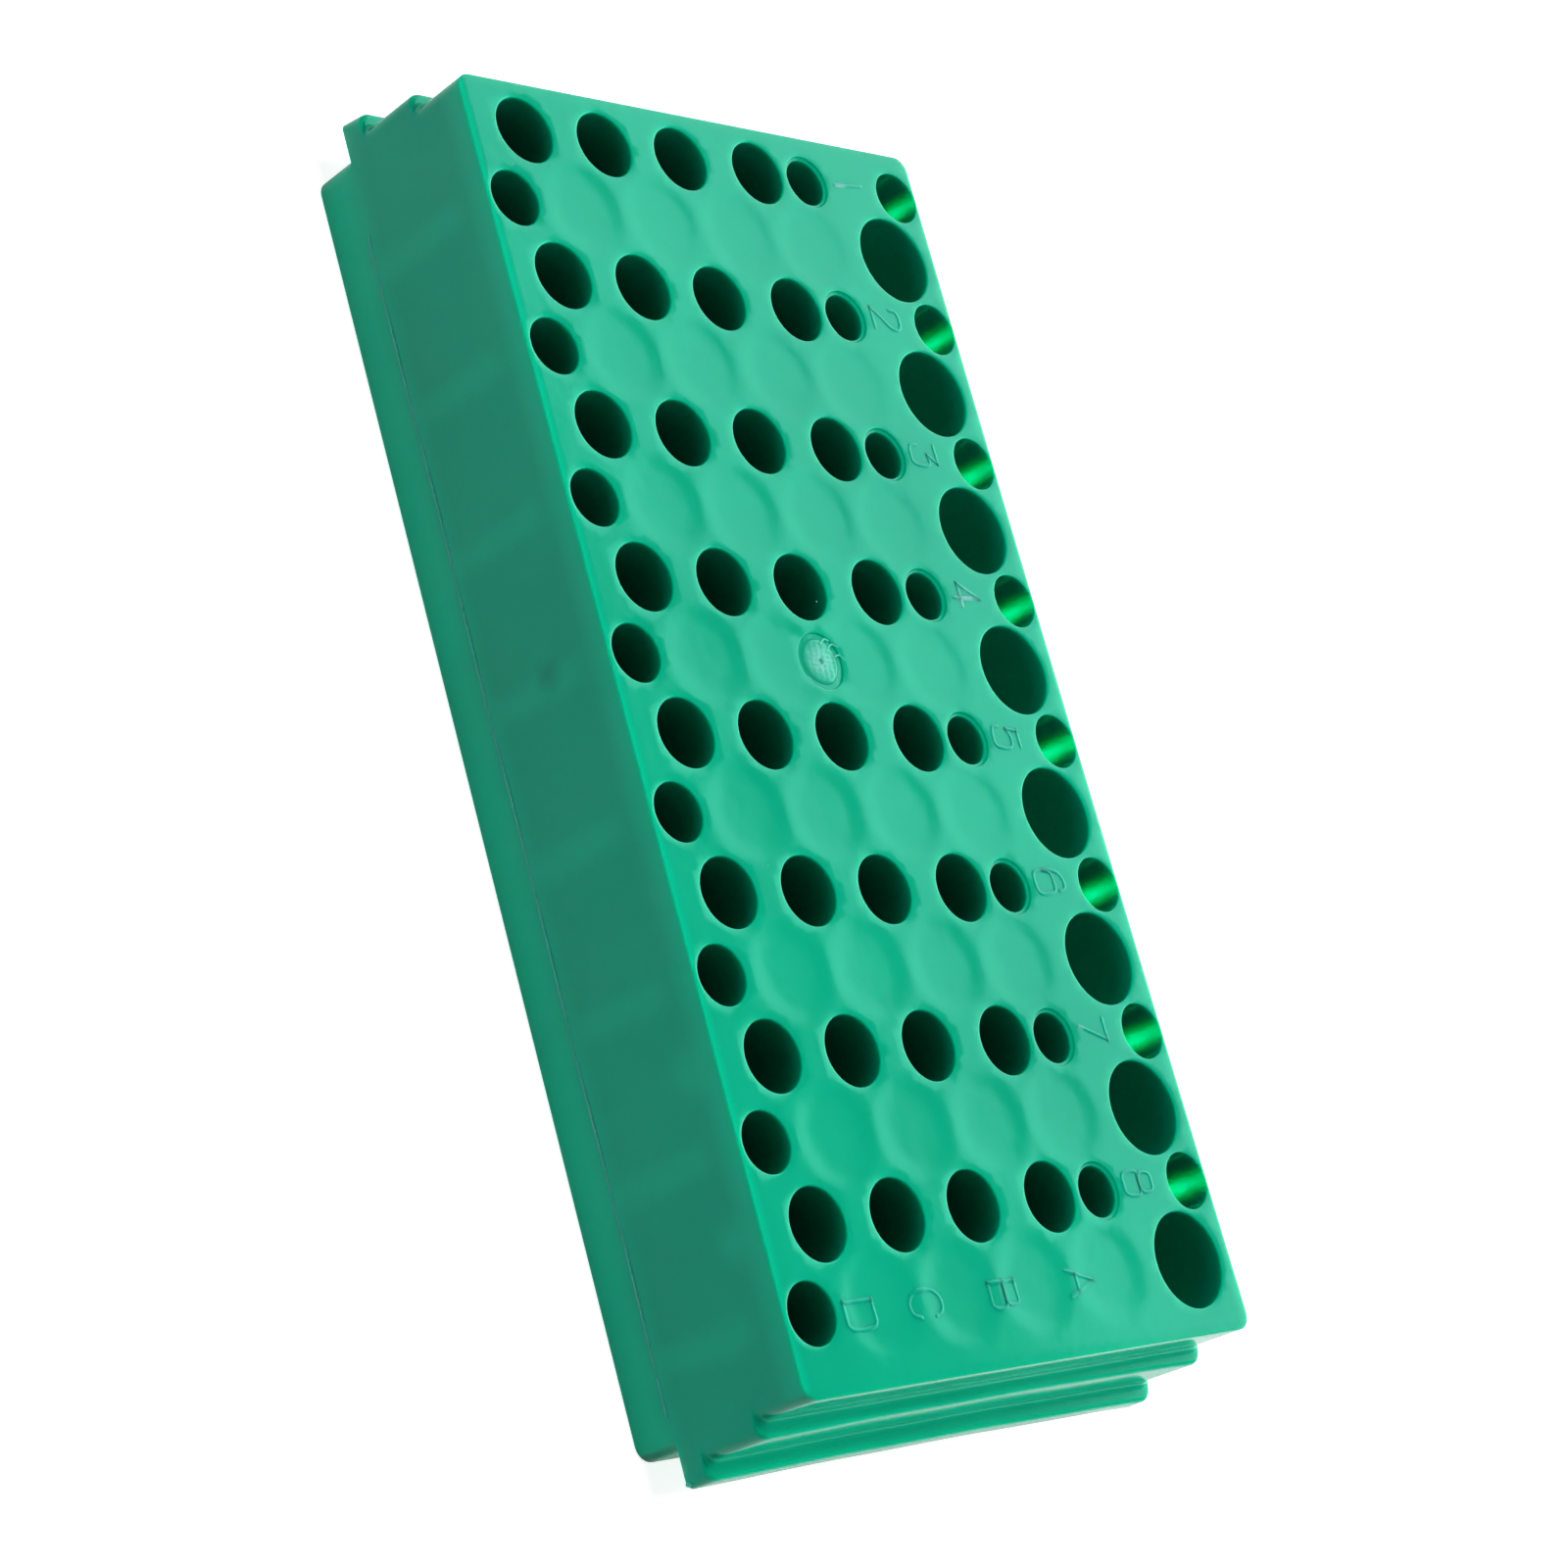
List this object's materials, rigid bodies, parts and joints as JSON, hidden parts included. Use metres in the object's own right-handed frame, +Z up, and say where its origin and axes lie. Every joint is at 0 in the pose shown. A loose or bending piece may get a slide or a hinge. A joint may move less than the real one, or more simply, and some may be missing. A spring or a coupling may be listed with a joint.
{
  "type": "test tube rack",
  "caption": "Reversible bench rack moulded in green polypropylene, with numbered rows of wells for micro tubes and larger tubes, sockets on its reverse side and stepped ends.",
  "frame": {"origin": "centre of the footprint, on the surface that the rack stands on", "axes": "+X runs along the rack from row 1 to the lettered end, +Y across it towards the large wells, +Z up out of the wells"},
  "size_m": [0.2198, 0.102, 0.036],
  "materials": {
    "moulding": "semi-gloss green polypropylene, slightly translucent where the wall is thin"
  },
  "bodies": {
    "root": {"rack_body": "moulding"}
  },
  "joints": []
}
